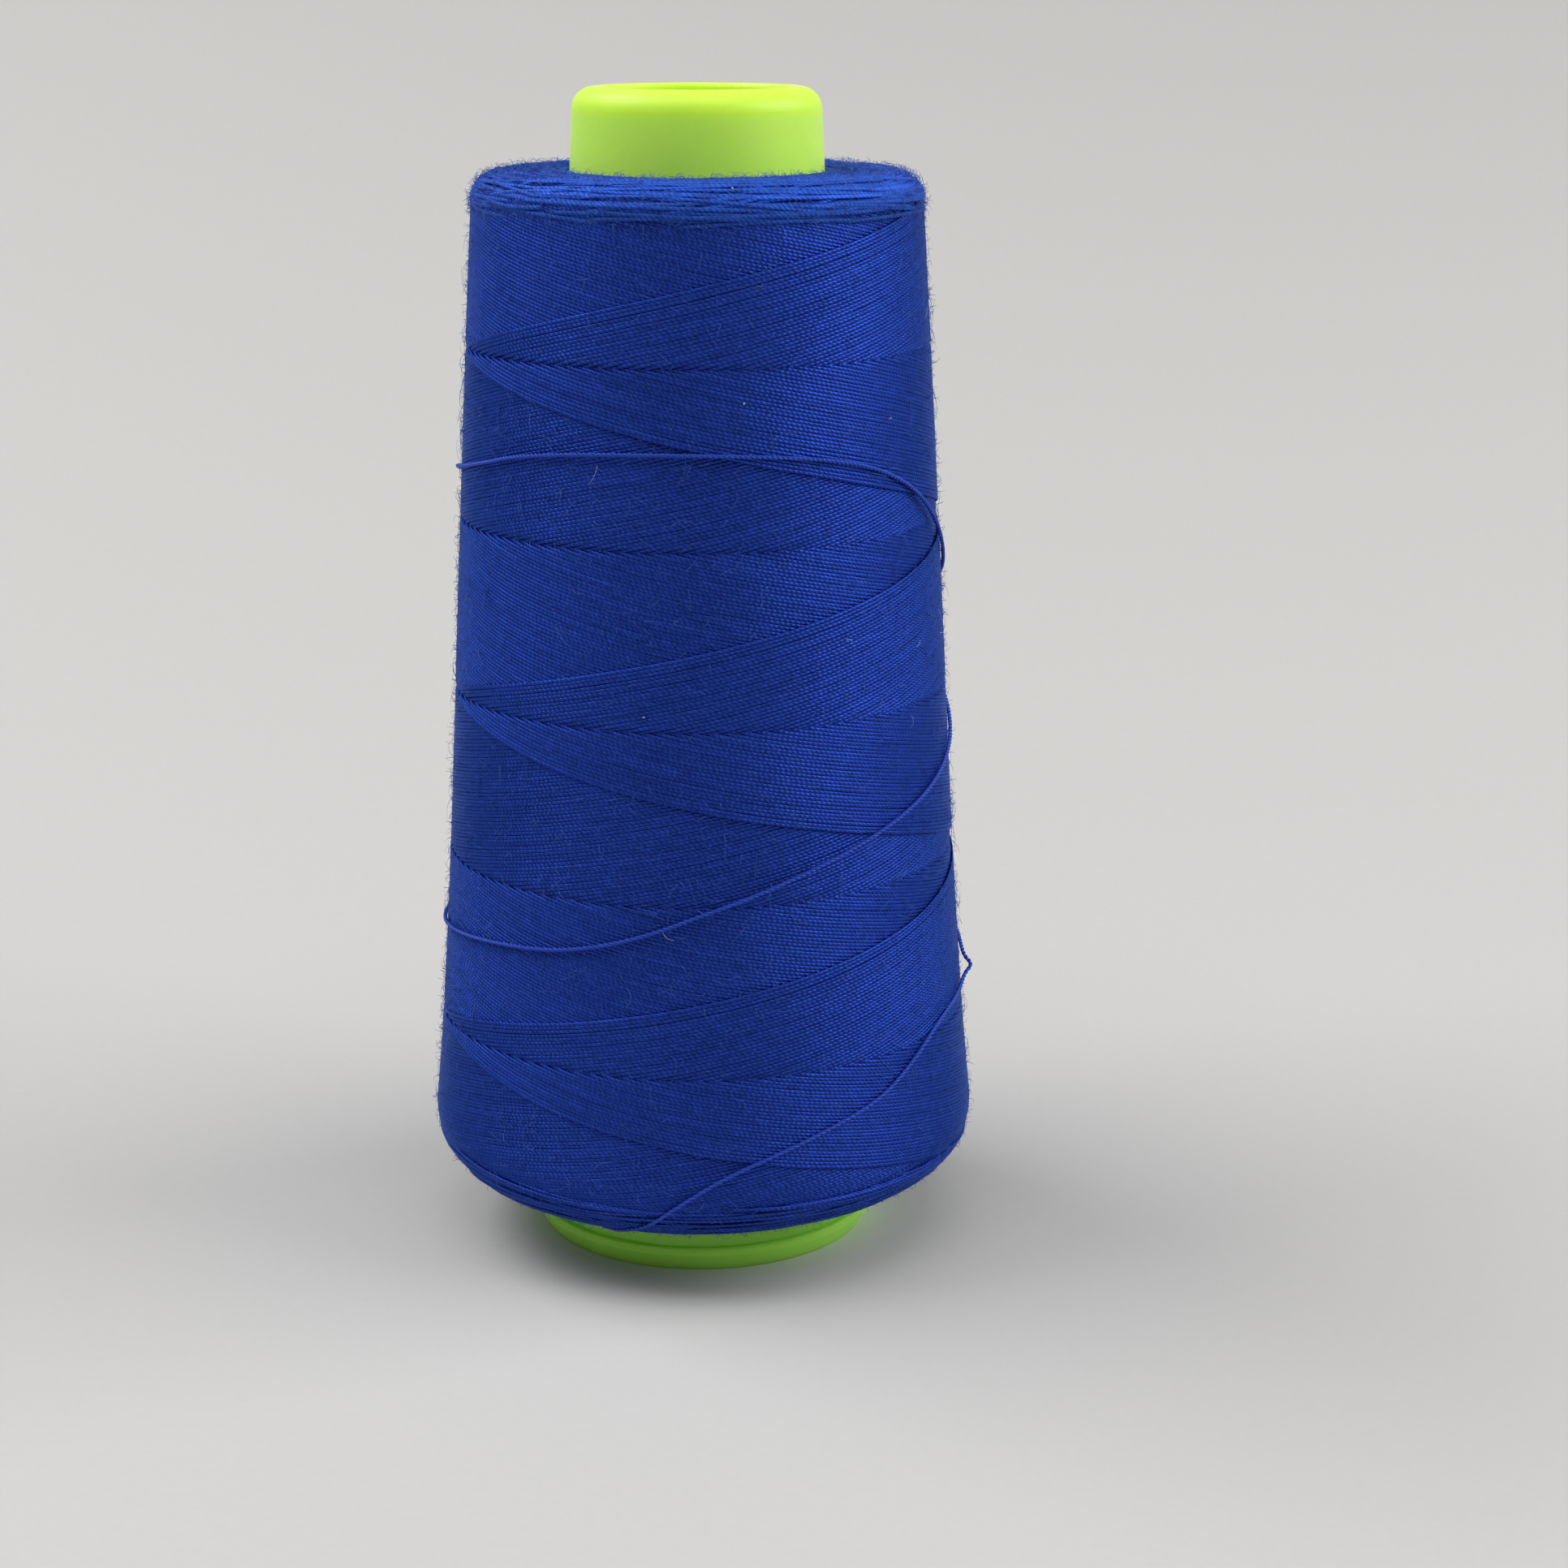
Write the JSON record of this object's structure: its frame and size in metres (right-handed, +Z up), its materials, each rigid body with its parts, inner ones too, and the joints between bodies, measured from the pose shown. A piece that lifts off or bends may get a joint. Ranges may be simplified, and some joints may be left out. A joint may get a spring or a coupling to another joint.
{
  "type": "cone of sewing thread",
  "caption": "Cone of sewing thread: cross-wound spun thread on a hollow tapered plastic cone with a nose ring, a base rim and a loose outer end.",
  "frame": {"origin": "centre of the base, on the surface that the cone stands on", "axes": "+Z up the cone's axis towards the nose; -Y is the front of the picture; symmetric about Z apart from the loose strand"},
  "size_m": [0.0582, 0.0584, 0.12],
  "materials": {
    "lime_plastic": "satin",
    "blue_thread": "matte"
  },
  "bodies": {
    "root": {"moulded_cone": "lime_plastic", "thread_package": "blue_thread", "outer_winding": "blue_thread", "loose_strand": "blue_thread"}
  },
  "joints": []
}
